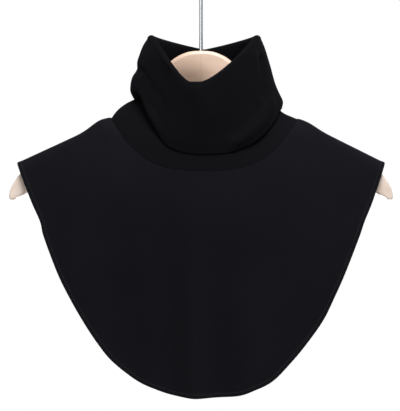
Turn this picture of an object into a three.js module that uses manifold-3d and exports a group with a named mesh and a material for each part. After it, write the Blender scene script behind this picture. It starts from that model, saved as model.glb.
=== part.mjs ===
// Turtleneck dickey hanging on a wooden clothes hanger, in millimetres.
// The origin is the inside top of the hanger's hook, +Z is up, and the front of the dickey faces -Y.
import * as THREE from 'three';
import { mergeVertices } from 'three/addons/utils/BufferGeometryUtils.js';
import Module from 'manifold-3d';

// Fits
const SEAM_GAP = 0.3; // between two pieces of cloth at their seam
const REST_GAP = 1; // between the cloth and the wood that it rests on
const STEM_FIT = 0.3; // all round the hook's stem in its hole

// Hanger: bent wire hook
const WIRE = 4; // diameter
const HOOK_RADIUS = 20; // inside of the round
const HOOK_END = 195; // degrees round from the right, where the round ends
const STEM_BEND = 12; // middle line of the bend between the stem and the round
const STEM_DEPTH = 24; // in the wood
const STEM_SIDES = 8;
const HOOK_STEPS = 60;

// Hanger: flat wooden body
const HEAD_DROP = 113; // from the hook's inside top to the top of the wood
const HANGER_SPAN = 421;
const WOOD_THICKNESS = 13;
const WOOD_EDGE = 5; // rounding of the wood's edges
const HEAD_HEIGHT = 51; // of the wood at its middle
const ARM_HEIGHT = 28;
const ARM_END = 18; // length of the rounded end
const ARM_DROOP = 7.5; // of the arm's end below the line of the shoulder
const DROOP_START = 0.5; // share of the way from the neck to the arm's end
const DROOP_END = 1.1;
const WOOD_POINTS = 84; // round the wood's outline
const ARM_STEPS = 8;
const EDGE_STEPS = 3; // across each rounded edge

// Dickey: neck seam and shoulders
const NECK_DROP = 76; // from the top of the wood to the neck seam at the shoulders
const NECK_SHIFT = 3.8; // of the dickey's neck to the right of the hook
const NECK_WIDTH = 203.6;
const NECK_FRONT_DEPTH = 48; // of the neck seam before the hanger's plane
const NECK_BACK_DEPTH = 40;
const NECK_FRONT_DROP = 56; // of the neck seam at the front, below the shoulders
const NECK_BACK_DROP = 17;
const SHOULDER_SPAN = 404;
const SHOULDER_FALL = 48;
const SHOULDER_BUMP_LEFT = 5; // of the shoulder line beside the neck seam
const SHOULDER_BUMP_RIGHT = 2.5;
const BUMP_PLACE = 0.12; // share of the shoulder's length
const BUMP_WIDTH = 0.13;
const BUMP_SHARPNESS = 12; // how close to the shoulder seam the bump stays
const SEAM_SPREAD = 0.5; // sideways lean of the wall at the shoulders
const SEAM_RISE = 0.87; // upward lean of the wall at the shoulders

// Dickey: front and back panels
const BIB_LENGTH = 255; // from the shoulder tips to the hem
const BACK_SHARE = 0.96; // the back panel's outline against the front's
const TIP_SHARE = 0.2; // share of the outline, next to each shoulder tip, where the two come together
const CLOTH = 1.8;
const HEM_CLOTH = 2.6; // where the cloth is turned and stitched
const HEM_WIDTH = 4.5;
const BIB_FULLNESS = 15; // how far the panel stands out under the neck
const FULLNESS_POWER = 0.7; // below 1 the fullness reaches towards the shoulders
const WRAP_WIDTH = 0.03; // share of the panel, next to the shoulder seam, that bends over the wood
const WRAP_START = 0.12; // share of the way from the neck where that bend is full
const FRONT_HEM_DEPTH = 25;
const BACK_HEM_DEPTH = 20;

// Dickey: folded collar
const COLLAR_WALL = 2.4; // two layers of knit
const COLLAR_HEIGHT = 93.5; // from the neck seam to the rolled edge, at the sides
const COLLAR_LEFT = 58.4; // half width of the rolled edge, left of the neck's middle
const COLLAR_RIGHT = 57.7;
const COLLAR_DEPTH = 43; // half depth of the rolled edge
const COLLAR_FRONT_DIP = 53.7;
const COLLAR_BACK_DIP = 12.5;
const ROLL_RADIUS = 3.5;
const FLAP_LEFT = 78.3; // half widths and depths of the flap's free edge
const FLAP_RIGHT = 84.9;
const FLAP_FRONT_DEPTH = 49.3;
const FLAP_BACK_DEPTH = 47;
const FLAP_LEFT_LENGTH = 68.5; // lengths of the flap, from the rolled edge down
const FLAP_RIGHT_LENGTH = 80.5;
const FLAP_FRONT_LENGTH = 77.8;
const FLAP_BACK_LENGTH = 82;

// How each ring of the collar dips from the shoulders to the front: 1 is a sharp V, 3 a wide U.
const RIM_DIP_POWER = 1.38;
const RIM_BACK_POWER = 1.05;
const FLAP_DIP_POWER = 2.8;
const NECK_DIP_POWER = 3;
const RIM_DIP_TIP = -0.19; // the V's lowest point, as a share of the half width
const RIM_POINT = 1.2; // 1 is an ellipse in plan, more is pointed at the sides

// The stand between the neck seam and the roll, each value a share of the way.
const STAND_ROWS = [
  { rise: 0, left: 0, right: 0, front: 0, back: 0 },
  { rise: 0.07, left: 0.08, right: 0.31, front: 0.08, back: 0.1 },
  { rise: 0.15, left: 0.23, right: 0.46, front: 0.2, back: 0.25 },
  { rise: 0.21, left: 0.4, right: 0.5, front: 0.28, back: 0.33 },
  { rise: 0.25, left: 0.56, right: 0.53, front: 0.34, back: 0.4 },
  { rise: 0.33, left: 0.69, right: 0.58, front: 0.42, back: 0.5 },
  { rise: 0.47, left: 0.755, right: 0.68, front: 0.6, back: 0.65 },
  { rise: 0.73, left: 0.89, right: 0.86, front: 0.85, back: 0.85 },
];

// The flap between the roll and its free edge, each value a share of the way.
const FLAP_ROWS = [
  { fall: 0.12, left: 0.29, right: 0.16, front: 0.14, back: 0.14 },
  { fall: 0.26, left: 0.51, right: 0.3, front: 0.3, back: 0.3 },
  { fall: 0.4, left: 0.67, right: 0.44, front: 0.46, back: 0.46 },
  { fall: 0.52, left: 0.665, right: 0.55, front: 0.6, back: 0.6 },
  { fall: 0.66, left: 0.97, right: 0.69, front: 0.74, back: 0.74 },
  { fall: 0.8, left: 1.09, right: 0.88, front: 0.88, back: 0.86 },
  { fall: 0.92, left: 1.1, right: 1.04, front: 0.98, back: 0.96 },
  { fall: 1, left: 1, right: 1, front: 1, back: 1 },
];

// Folds of the flap: from one place to another, in degrees round from the front and share of the fall.
const FLAP_FOLDS = [
  { name: 'right_tuck', fromTurn: 80, fromFall: 0.25, toTurn: 56, toFall: 0.66, width: 5.5, height: -3.5 },
  { name: 'right_crest', fromTurn: 57, fromFall: 0.1, toTurn: 50, toFall: 0.58, width: 6, height: 2 },
  { name: 'right_ridge', fromTurn: 22, fromFall: 0.9, toTurn: 62, toFall: 0.77, width: 7, height: 3.2 },
  { name: 'left_valley', fromTurn: -42, fromFall: 0.2, toTurn: -44, toFall: 0.7, width: 14, height: -3 },
  { name: 'front_swell', fromTurn: -6, fromFall: 0.1, toTurn: 2, toFall: 0.45, width: 16, height: 3 },
];

// Rises of the flap's free edge, at a place and of a width in degrees round from the front.
const HEM_WAVES = [
  { name: 'left_rise', turn: -61, width: 12, lift: 16.5 },
  { name: 'left_ease', turn: -42, width: 6, lift: 4 },
];

// Right and left edge of the front panel below the shoulder tips, as shares of the
// panel's length and of half the shoulder span.
const OUTLINE_ROWS = [
  { down: 0, left: 1, right: 1 },
  { down: 0.161, left: 0.92, right: 0.93 },
  { down: 0.25, left: 0.87, right: 0.884 },
  { down: 0.314, left: 0.85, right: 0.856 },
  { down: 0.467, left: 0.776, right: 0.78 },
  { down: 0.569, left: 0.712, right: 0.722 },
  { down: 0.671, left: 0.638, right: 0.658 },
  { down: 0.773, left: 0.554, right: 0.566 },
  { down: 0.85, left: 0.475, right: 0.484 },
  { down: 0.926, left: 0.352, right: 0.388 },
  { down: 0.966, left: 0.24, right: 0.29 },
  { down: 0.993, left: 0.13, right: 0.19 },
];

// Soft folds that grow towards the hem: place across as a share of half the shoulder span.
const FRONT_FOLDS = [
  { name: 'middle_ridge', across: -0.01, start: 0.3, width: 11, height: 8 },
  { name: 'left_valley', across: -0.15, start: 0.25, width: 18, height: -8 },
  { name: 'right_valley', across: 0.14, start: 0.25, width: 16, height: -7 },
  { name: 'right_ridge', across: 0.3, start: 0.4, width: 16, height: 4 },
  { name: 'left_hollow', across: -0.34, start: 0.35, width: 24, height: -5 },
  { name: 'left_swell', across: -0.55, start: 0.05, width: 30, height: 4 },
];
const BACK_FOLDS = [
  { name: 'middle_valley', across: 0, start: 0.3, width: 20, height: -5 },
  { name: 'left_ridge', across: -0.22, start: 0.3, width: 22, height: 5 },
  { name: 'right_ridge', across: 0.24, start: 0.3, width: 22, height: 5 },
];

// Half of the wood's top edge from the head to the shoulder: shares of half the neck's width and of its drop.
const HEAD_ROWS = [
  { across: 0, drop: 0 },
  { across: 0.17, drop: 0.03 },
  { across: 0.34, drop: 0.165 },
  { across: 0.5, drop: 0.44 },
  { across: 0.62, drop: 0.68 },
  { across: 0.76, drop: 0.86 },
];

// The arm's rounded end: shares of its length and of the arm's height.
const END_ROWS = [
  { out: 0.47, down: 0.34 },
  { out: 0.88, down: 0.78 },
  { out: 1, down: 1.1 },
  { out: 0.93, down: 1.23 },
  { out: 0.7, down: 1.23 },
  { out: 0.45, down: 1.12 },
];

// Grids
const COLLAR_TURNS = 56; // steps round the collar
const ROLL_STEPS = 4;
const PANEL_HALF_COLUMNS = 24;
const PANEL_CROWDING = 1.8; // above 1 the columns crowd towards the shoulders
const EDGE_CROWDING = 1.45; // above 1 the columns' ends crowd towards the middle of the hem
const PANEL_ROWS = [0, 0.04, 0.1, 0.17, 0.26, 0.37, 0.49, 0.62, 0.76, 0.89];

const HALF_TURN = Math.PI / 2;
const NECK_Z = -HEAD_DROP - NECK_DROP;
const TIP_Z = NECK_Z - SHOULDER_FALL;
const WRAP = WOOD_THICKNESS / 2 + REST_GAP + CLOTH / 2; // panel's middle before the hanger's plane

const mix = (a, b, share) => a + (b - a) * share;
const clamp01 = (value) => Math.min(1, Math.max(0, value));
const bell = (distance) => Math.exp(-distance * distance);
const smooth = (from, to, value) => {
  const share = clamp01((value - from) / (to - from));
  return share * share * (3 - 2 * share);
};

// Closed skin of a grid of points with a wall along each point's normal. A grid that goes
// round has no first and last column, and a rounded edge gets one more row of points.
function wallGeometry({ rows, columns, round, point, normal, wall, roundEnd }) {
  const positions = [];
  const loop = [];
  for (let r = 0; r < rows; r++) loop.push({ row: r, side: 1 });
  if (roundEnd) loop.push({ row: rows - 1, side: 0 });
  for (let r = rows - 1; r >= 0; r--) loop.push({ row: r, side: -1 });
  for (const { row, side } of loop) {
    for (let c = 0; c < columns; c++) {
      const middle = point(row, c);
      if (side === 0) {
        const outward = middle.clone().sub(point(row - 1, c)).normalize();
        middle.addScaledVector(outward, wall(row) / 2);
      } else {
        middle.addScaledVector(normal(row, c), (side * wall(row)) / 2);
      }
      positions.push(middle.x, middle.y, middle.z);
    }
  }
  const at = (ring, column) => (ring % loop.length) * columns + (column % columns);
  const triangles = [];
  const lastColumn = round ? columns : columns - 1;
  for (let ring = 0; ring < loop.length; ring++) {
    for (let c = 0; c < lastColumn; c++) {
      const [a, b] = [at(ring, c), at(ring, c + 1)];
      const [d, e] = [at(ring + 1, c), at(ring + 1, c + 1)];
      triangles.push(a, b, d, b, e, d);
    }
  }
  if (!round) {
    for (let r = 0; r < rows - 1; r++) {
      const under = loop.length - 1 - r;
      for (const [c, turned] of [[0, false], [columns - 1, true]]) {
        const [a, b] = [at(r, c), at(r + 1, c)];
        const [d, e] = [at(under, c), at(under - 1, c)];
        if (turned) triangles.push(a, d, b, b, d, e);
        else triangles.push(a, b, d, b, e, d);
      }
    }
  }
  const geometry = new THREE.BufferGeometry();
  geometry.setAttribute('position', new THREE.Float32BufferAttribute(positions, 3));
  geometry.setIndex(triangles);
  return geometry;
}

// Unit normal of a grid at a point, from its neighbours.
function gridNormal(point, row, column, lastRow, lastColumn, round) {
  const before = round ? column - 1 : Math.max(column - 1, 0);
  const after = round ? column + 1 : Math.min(column + 1, lastColumn);
  const down = point(Math.min(row + 1, lastRow), column).sub(point(Math.max(row - 1, 0), column));
  const across = point(row, after).sub(point(row, before));
  return across.cross(down).normalize();
}

// One ring of the collar, seen from above. The turn is 0 at the front and 90 degrees at the right.
function ringPoint(turn, ring) {
  const across = Math.sin(turn);
  const along = Math.cos(turn);
  const width = across < 0 ? ring.left : ring.right;
  const depth = along < 0 ? ring.back : ring.front;
  const tip = along < 0 ? 0 : ring.tip * along;
  const fromTip = across < tip ? (tip - across) / (1 + tip) : (across - tip) / (1 - tip);
  const side = across < tip ? ring.leftZ : ring.rightZ;
  const dip = 1 - fromTip ** (along < 0 ? ring.backPower : ring.power);
  return new THREE.Vector3(
    NECK_SHIFT + width * across,
    -depth * Math.sign(along) * Math.abs(along) ** ring.point,
    mix(side, along < 0 ? ring.backZ : ring.frontZ, dip),
  );
}

const NECK_RING = {
  left: NECK_WIDTH / 2,
  right: NECK_WIDTH / 2,
  front: NECK_FRONT_DEPTH,
  back: NECK_BACK_DEPTH,
  leftZ: NECK_Z,
  rightZ: NECK_Z,
  frontZ: NECK_Z - NECK_FRONT_DROP,
  backZ: NECK_Z - NECK_BACK_DROP,
  power: NECK_DIP_POWER,
  backPower: NECK_DIP_POWER,
  point: 1,
  tip: 0,
};
const RIM_Z = NECK_Z + COLLAR_HEIGHT;
const RIM_RING = {
  left: COLLAR_LEFT,
  right: COLLAR_RIGHT,
  front: COLLAR_DEPTH,
  back: COLLAR_DEPTH,
  leftZ: RIM_Z,
  rightZ: RIM_Z,
  frontZ: RIM_Z - COLLAR_FRONT_DIP,
  backZ: RIM_Z - COLLAR_BACK_DIP,
  power: RIM_DIP_POWER,
  backPower: RIM_BACK_POWER,
  point: RIM_POINT,
  tip: RIM_DIP_TIP,
};
const FLAP_RING = {
  left: FLAP_LEFT,
  right: FLAP_RIGHT,
  front: FLAP_FRONT_DEPTH,
  back: FLAP_BACK_DEPTH,
  leftZ: RIM_Z - FLAP_LEFT_LENGTH,
  rightZ: RIM_Z - FLAP_RIGHT_LENGTH,
  frontZ: RIM_RING.frontZ - FLAP_FRONT_LENGTH,
  backZ: RIM_RING.backZ - FLAP_BACK_LENGTH,
  power: FLAP_DIP_POWER,
  backPower: FLAP_DIP_POWER,
  point: 1,
  tip: 0,
};

// The seam round the neck: its place, and the direction of the wall that the pieces share there.
function neckSeam(turn) {
  const place = ringPoint(turn, NECK_RING);
  const step = 1e-3;
  const tangent = ringPoint(turn + step, NECK_RING).sub(ringPoint(turn - step, NECK_RING)).normalize();
  const across = Math.sin(turn);
  const wall = new THREE.Vector3(SEAM_SPREAD * across, -Math.cos(turn), SEAM_RISE * across * across);
  wall.addScaledVector(tangent, -wall.dot(tangent)).normalize();
  const outward = new THREE.Vector3().crossVectors(tangent, wall).normalize();
  if (outward.z > 0) outward.negate();
  return { place, wall, outward };
}

// A point of the roll at the collar's top edge: 0 degrees is its inner side, 180 its outer side.
function rollPoint(turn, angle) {
  const place = ringPoint(turn, RIM_RING);
  const width = Math.sin(turn) < 0 ? COLLAR_LEFT : COLLAR_RIGHT;
  const outward = new THREE.Vector3(COLLAR_DEPTH * Math.sin(turn), -width * Math.cos(turn), 0).normalize();
  place.addScaledVector(outward, -ROLL_RADIUS * Math.cos(angle));
  place.z += ROLL_RADIUS * (Math.sin(angle) - 1) - COLLAR_WALL / 2;
  return place;
}

// A point between two rings of the collar, by a row of shares.
function between(turn, from, to, row, heightShare) {
  const sideways = (1 + Math.sin(turn)) / 2;
  const forward = (1 + Math.cos(turn)) / 2;
  return new THREE.Vector3(
    mix(from.x, to.x, mix(row.left, row.right, sideways)),
    mix(from.y, to.y, mix(row.back, row.front, forward)),
    mix(from.z, to.z, heightShare),
  );
}

// A point of the flap's free edge, with its waves.
function hemPoint(turn) {
  const place = ringPoint(turn, FLAP_RING);
  for (const wave of HEM_WAVES) {
    place.z += wave.lift * bell((THREE.MathUtils.radToDeg(turn) - wave.turn) / wave.width);
  }
  return place;
}

// A place of the flap laid out flat, in millimetres.
const flatPlace = (turn, fall) => new THREE.Vector2(turn * FLAP_RIGHT, fall * FLAP_FRONT_LENGTH);

// How far the folds push the flap out at a place, in millimetres.
function flapFold(turn, fall) {
  let height = 0;
  for (const fold of FLAP_FOLDS) {
    const from = flatPlace(THREE.MathUtils.degToRad(fold.fromTurn), fold.fromFall);
    const to = flatPlace(THREE.MathUtils.degToRad(fold.toTurn), fold.toFall);
    const place = flatPlace(turn, fall);
    const line = to.clone().sub(from);
    const share = clamp01(place.clone().sub(from).dot(line) / line.lengthSq());
    height += fold.height * bell(place.distanceTo(from.addScaledVector(line, share)) / fold.width);
  }
  return height;
}

// The collar is one tube of cloth: up from the neck seam, over the roll and down the flap.
function collarGeometry() {
  const standRows = STAND_ROWS.map((row) => (turn) => {
    if (row.rise === 0) {
      const seam = neckSeam(turn);
      return seam.place.addScaledVector(seam.outward, -SEAM_GAP / 2);
    }
    return between(turn, ringPoint(turn, NECK_RING), rollPoint(turn, 0), row, row.rise);
  });
  const rollRows = Array.from({ length: ROLL_STEPS + 1 }, (_, step) => (turn) => {
    return rollPoint(turn, (Math.PI * step) / ROLL_STEPS);
  });
  const flapRows = FLAP_ROWS.map((row) => (turn) => {
    const place = between(turn, rollPoint(turn, Math.PI), hemPoint(turn), row, row.fall);
    const outward = new THREE.Vector3(Math.sin(turn), -Math.cos(turn), 0);
    return place.addScaledVector(outward, flapFold(turn, row.fall));
  });
  const rowPoints = [...standRows, ...rollRows, ...flapRows];
  const turnOf = (column) => {
    const turn = (column * 2 * Math.PI) / COLLAR_TURNS;
    return turn > Math.PI ? turn - 2 * Math.PI : turn;
  };
  const point = (row, column) => rowPoints[row](turnOf(column));
  const lastRow = rowPoints.length - 1;
  const normal = (row, column) => {
    if (row === 0) return neckSeam(turnOf(column)).wall;
    return gridNormal(point, row, column, lastRow, COLLAR_TURNS, true);
  };
  return wallGeometry({
    rows: rowPoints.length,
    columns: COLLAR_TURNS,
    round: true,
    point,
    normal,
    wall: () => COLLAR_WALL,
    roundEnd: true,
  });
}

// Straight height of the shoulder line at a distance from the hanger's middle, on one side.
function shoulderZ(distance, side) {
  const start = NECK_WIDTH / 2 + side * NECK_SHIFT;
  return NECK_Z - (SHOULDER_FALL * (distance - start)) / (SHOULDER_SPAN / 2 - start);
}

// The front panel's edge from the left shoulder tip round the hem to the right tip.
const outline = (() => {
  const place = (row, side) => new THREE.Vector2(
    (side * row[side < 0 ? 'left' : 'right'] * SHOULDER_SPAN) / 2,
    TIP_Z - row.down * BIB_LENGTH,
  );
  const left = OUTLINE_ROWS.map((row) => place(row, -1));
  const right = OUTLINE_ROWS.map((row) => place(row, 1)).reverse();
  const bottom = new THREE.Vector2(NECK_SHIFT, TIP_Z - BIB_LENGTH);
  return new THREE.SplineCurve([...left, bottom, ...right]);
})();
const OUTLINE_MIDDLE = 0.5; // share of the outline's length at the middle of the hem

// A point of a panel: u runs from the left shoulder, -1, to the right one, 1, and v from the neck to the hem.
function panelPoint(panel, u, v) {
  const turn = panel.side < 0 ? u * HALF_TURN : Math.PI - u * HALF_TURN;
  const seam = neckSeam(turn);
  const start = seam.place.clone().addScaledVector(seam.outward, SEAM_GAP / 2);
  const share = OUTLINE_MIDDLE * (1 + Math.sign(u) * Math.abs(u) ** EDGE_CROWDING);
  const edge = outline.getPointAt(clamp01(share));
  // Both panels share the shoulder seams, and the back one is a little smaller away from them.
  edge.x *= mix(1, panel.share, smooth(0, TIP_SHARE, Math.min(share, 1 - share)));
  edge.y = TIP_Z + (edge.y - TIP_Z) * panel.share;
  const centre = Math.cos(u * HALF_TURN);
  const shoulder = Math.abs(u) ** BUMP_SHARPNESS;
  const place = new THREE.Vector3(mix(start.x, edge.x, v), 0, mix(start.z, edge.y, v));
  const bump = u < 0 ? SHOULDER_BUMP_LEFT : SHOULDER_BUMP_RIGHT;
  if (v > 0) place.z += shoulder * bump * bell((v - BUMP_PLACE) / BUMP_WIDTH);
  const hung = centre ** FULLNESS_POWER * (BIB_FULLNESS * 4 * v * (1 - v) + panel.hemDepth * v * v);
  let depth = panel.neckDepth * centre * (1 - v) ** 2;
  if (v > 0) depth += WRAP * wrapShare(u) * smooth(-WRAP_START, WRAP_START, v);
  depth += hung;
  for (const fold of panel.folds) {
    const offset = (place.x - (fold.across * SHOULDER_SPAN) / 2) / fold.width;
    depth += fold.height * bell(offset) * smooth(fold.start, 1, v) * wrapShare(u);
  }
  place.y = panel.side * Math.max(depth, SEAM_GAP / 2);
  return place;
}

// How much of the bend over the wood is done at a place across the panel.
function wrapShare(u) {
  const inside = clamp01((1 - Math.abs(u)) / WRAP_WIDTH);
  return Math.sqrt(1 - (1 - inside) ** 2);
}

function panelGeometry(panel) {
  const hemStart = 1 - HEM_WIDTH / BIB_LENGTH;
  const shares = [...PANEL_ROWS, hemStart, 1];
  const columns = 2 * PANEL_HALF_COLUMNS + 1;
  const lastRow = shares.length - 1;
  const uOf = (column) => {
    const place = (column - PANEL_HALF_COLUMNS) / PANEL_HALF_COLUMNS;
    return Math.sign(place) * (1 - (1 - Math.abs(place)) ** PANEL_CROWDING);
  };
  const order = (column) => (panel.side < 0 ? columns - 1 - column : column);
  const point = (row, column) => panelPoint(panel, uOf(order(column)), shares[row]);
  const normal = (row, column) => {
    const u = uOf(order(column));
    if (row === 0) return neckSeam(panel.side < 0 ? u * HALF_TURN : Math.PI - u * HALF_TURN).wall;
    if (Math.abs(u) === 1) {
      const next = point(Math.min(row + 1, lastRow), column);
      const line = next.sub(point(row - 1, column)).setY(0).normalize();
      const up = new THREE.Vector3(-line.z, 0, line.x);
      return up.z < 0 ? up.negate() : up;
    }
    return gridNormal(point, row, column, lastRow, columns - 1, false);
  };
  return wallGeometry({
    rows: shares.length,
    columns,
    round: false,
    point,
    normal,
    wall: (row) => (shares[row] > hemStart - 1e-6 ? HEM_CLOTH : CLOTH),
    roundEnd: false,
  });
}

// Top edge of the wood on one side of its middle, as points from the head to the arm's end.
function woodTop() {
  const half = NECK_WIDTH / 2;
  const arm = HANGER_SPAN / 2 - ARM_END;
  const clear = COLLAR_WALL / 2 + REST_GAP;
  const start = half - NECK_SHIFT;
  const points = HEAD_ROWS.map((row) => {
    return new THREE.Vector2(row.across * half, -HEAD_DROP - row.drop * NECK_DROP);
  });
  for (let step = 0; step <= ARM_STEPS; step++) {
    const share = step / ARM_STEPS;
    const distance = mix(start, arm, share);
    const cloth = Math.min(shoulderZ(distance, -1), shoulderZ(distance, 1));
    const droop = ARM_DROOP * smooth(DROOP_START, DROOP_END, share);
    points.push(new THREE.Vector2(distance, cloth - clear - droop));
  }
  return points;
}

// The wooden body: its outline seen from the front, with rounded edges and a hole for the stem.
function woodOutline() {
  const top = woodTop();
  const corner = top[top.length - 1];
  const end = END_ROWS.map((row) => {
    return new THREE.Vector2(corner.x + row.out * ARM_END, corner.y - row.down * ARM_HEIGHT);
  });
  const under = [...top].reverse().map((place) => {
    const height = mix(HEAD_HEIGHT, ARM_HEIGHT, smooth(0, NECK_WIDTH / 2, place.x));
    return new THREE.Vector2(place.x, place.y - height);
  });
  const right = [...top, ...end, ...under];
  const left = right.slice(1, -1).reverse().map((place) => new THREE.Vector2(-place.x, place.y));
  return new THREE.SplineCurve([...right, ...left, right[0]]);
}

const wasm = await Module();
wasm.setup();

// A geometry as a solid that can be cut, and back.
function toSolid(geometry) {
  const bare = geometry.clone();
  bare.deleteAttribute('normal');
  bare.deleteAttribute('uv');
  const merged = mergeVertices(bare, 1e-3);
  return new wasm.Manifold(new wasm.Mesh({
    numProp: 3,
    vertProperties: merged.attributes.position.array,
    triVerts: new Uint32Array(merged.index.array),
  }));
}
function toGeometry(solid) {
  const mesh = solid.getMesh();
  const geometry = new THREE.BufferGeometry();
  geometry.setAttribute('position', new THREE.BufferAttribute(mesh.vertProperties, 3));
  geometry.setIndex(new THREE.BufferAttribute(mesh.triVerts, 1));
  return geometry;
}

function hangerBodyGeometry() {
  const shape = new THREE.Shape(woodOutline().getSpacedPoints(WOOD_POINTS).slice(0, WOOD_POINTS));
  const body = new THREE.ExtrudeGeometry(shape, {
    depth: WOOD_THICKNESS - 2 * WOOD_EDGE,
    bevelThickness: WOOD_EDGE,
    bevelSize: WOOD_EDGE,
    bevelOffset: -WOOD_EDGE,
    bevelSegments: EDGE_STEPS,
    curveSegments: 1,
  });
  body.translate(0, 0, WOOD_EDGE - WOOD_THICKNESS / 2);
  body.rotateX(HALF_TURN);
  const bore = new THREE.CylinderGeometry(
    WIRE / 2 + STEM_FIT,
    WIRE / 2 + STEM_FIT,
    2 * (STEM_DEPTH + STEM_FIT),
    2 * STEM_SIDES,
  );
  bore.rotateX(HALF_TURN);
  bore.translate(0, 0, -HEAD_DROP);
  return toGeometry(toSolid(body).subtract(toSolid(bore)));
}

// The hook's middle line: up the stem, round the bend and over the round to its open end.
class HookLine extends THREE.Curve {
  constructor() {
    super();
    this.round = HOOK_RADIUS + WIRE / 2;
    this.centre = new THREE.Vector2(0, -HOOK_RADIUS);
    const reach = this.round + STEM_BEND;
    // The bend's centre lies beside the stem, and its circle touches the round's.
    this.bend = new THREE.Vector2(STEM_BEND, this.centre.y - Math.sqrt(reach ** 2 - STEM_BEND ** 2));
    this.meet = Math.atan2(this.bend.y - this.centre.y, this.bend.x);
    this.stemStart = -HEAD_DROP - STEM_DEPTH;
    this.lengths = [
      this.bend.y - this.stemStart,
      STEM_BEND * -this.meet,
      this.round * (THREE.MathUtils.degToRad(HOOK_END) - this.meet),
    ];
  }

  getPoint(share, target = new THREE.Vector3()) {
    const total = this.lengths.reduce((sum, length) => sum + length, 0);
    let distance = share * total;
    if (distance <= this.lengths[0]) return target.set(0, 0, this.stemStart + distance);
    distance -= this.lengths[0];
    if (distance <= this.lengths[1]) {
      const angle = Math.PI - distance / STEM_BEND;
      const [across, up] = [STEM_BEND * Math.cos(angle), STEM_BEND * Math.sin(angle)];
      return target.set(this.bend.x + across, 0, this.bend.y + up);
    }
    distance -= this.lengths[1];
    const angle = this.meet + distance / this.round;
    return target.set(this.round * Math.cos(angle), 0, this.centre.y + this.round * Math.sin(angle));
  }
}

function hangerHookGeometry() {
  const section = new THREE.Shape();
  section.absarc(0, 0, WIRE / 2, 0, 2 * Math.PI);
  return new THREE.ExtrudeGeometry(section, {
    steps: HOOK_STEPS,
    curveSegments: STEM_SIDES / 2,
    extrudePath: new HookLine(),
  });
}

const FRONT_PANEL = {
  side: -1,
  share: 1,
  neckDepth: NECK_FRONT_DEPTH,
  hemDepth: FRONT_HEM_DEPTH,
  folds: FRONT_FOLDS,
};
const BACK_PANEL = {
  side: 1,
  share: BACK_SHARE,
  neckDepth: NECK_BACK_DEPTH,
  hemDepth: BACK_HEM_DEPTH,
  folds: BACK_FOLDS,
};

const collarKnit = new THREE.MeshStandardMaterial({ color: 0x121215, roughness: 0.95, metalness: 0 });
const bibKnit = new THREE.MeshStandardMaterial({ color: 0x17171b, roughness: 0.92, metalness: 0 });
const paleWood = new THREE.MeshStandardMaterial({ color: 0xdcbfa6, roughness: 0.55, metalness: 0 });
const brightWire = new THREE.MeshStandardMaterial({ color: 0xb8babd, roughness: 0.25, metalness: 1 });

const dickey = new THREE.Group();
for (const [name, geometry, material] of [
  ['collar', collarGeometry(), collarKnit],
  ['bib_front', panelGeometry(FRONT_PANEL), bibKnit],
  ['bib_back', panelGeometry(BACK_PANEL), bibKnit],
  ['hanger_body', hangerBodyGeometry(), paleWood],
  ['hanger_hook', hangerHookGeometry(), brightWire],
]) {
  const mesh = new THREE.Mesh(geometry, material);
  mesh.name = name;
  dickey.add(mesh);
}

export default dickey;
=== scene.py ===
"""A black knit turtleneck dickey on a wooden clothes hanger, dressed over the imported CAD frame.

Sizes in the classes are millimetres in the row's frame, as in the part's source: the origin is the
inside top of the hanger's hook, +Z is up and the front of the dickey faces -Y. The meshes that the
classes write are in metres.
"""

import logging
import math
from dataclasses import dataclass, field
from enum import Enum

import bpy
import numpy as np
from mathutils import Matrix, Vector


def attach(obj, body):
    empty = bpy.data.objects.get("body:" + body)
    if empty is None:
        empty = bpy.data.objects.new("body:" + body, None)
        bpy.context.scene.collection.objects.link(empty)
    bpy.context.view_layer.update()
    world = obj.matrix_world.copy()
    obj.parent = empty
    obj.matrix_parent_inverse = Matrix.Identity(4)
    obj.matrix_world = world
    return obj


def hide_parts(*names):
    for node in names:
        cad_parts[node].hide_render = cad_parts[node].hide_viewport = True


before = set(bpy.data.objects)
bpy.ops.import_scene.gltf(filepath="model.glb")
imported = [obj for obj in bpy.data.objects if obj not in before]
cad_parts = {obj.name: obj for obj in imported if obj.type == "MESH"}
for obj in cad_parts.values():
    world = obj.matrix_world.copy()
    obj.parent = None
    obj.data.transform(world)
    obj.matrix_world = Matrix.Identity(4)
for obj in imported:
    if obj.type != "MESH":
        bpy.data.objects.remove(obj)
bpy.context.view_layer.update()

log = logging.getLogger("dickey")

Array = np.ndarray
Point = tuple[float, float, float]

MM = 0.001
HALF_TURN = math.pi / 2
FULL_TURN = 2 * math.pi
HEAD_DROP = 113.0  # from the hook's inside top to the top of the wood
STEM_DEPTH = 24.0  # of the hook's stem in the wood
SHOULDER_SPAN = 404.0
HALF_NECK = 101.8  # half width of the neck seam
NECK_SHIFT = 3.8  # of the neck to the right of the hook
NECK_Z = -189.0
SEAM_GAP = 0.3  # between the collar's cloth and the panels', before the tuck
SEAM_TUCK = 0.5  # of the collar's cloth into the panels' at the neck seam
WALE = 1.15  # width of a column of stitches
REVERSE_SHIFT = 1000 * WALE * MM  # how far aside the cloth's map shows its other side, where the knit's painted shade is laid
THINNEST = 0.02  # thickness of the cloth where an edge's rounding ends
OUTLINE_STEPS = 3000  # of a fine curve that is measured along


def mix(start: Array | float, end: Array | float, share: Array | float) -> Array:
    """Value a share of the way from start to end."""
    return start + (end - start) * share


def bell(distance: Array) -> Array:
    """Soft bump of height 1 at distance 0."""
    return np.exp(-distance * distance)


def smooth(start: float, end: float, value: Array) -> Array:
    """Soft step from 0 at start to 1 at end."""
    share = np.clip((value - start) / (end - start), 0, 1)
    return share * share * (3 - 2 * share)


def unit(vectors: Array) -> Array:
    """Vectors scaled to length 1."""
    length = np.linalg.norm(vectors, axis=-1, keepdims=True)
    return vectors / np.where(length == 0, 1, length)


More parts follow.
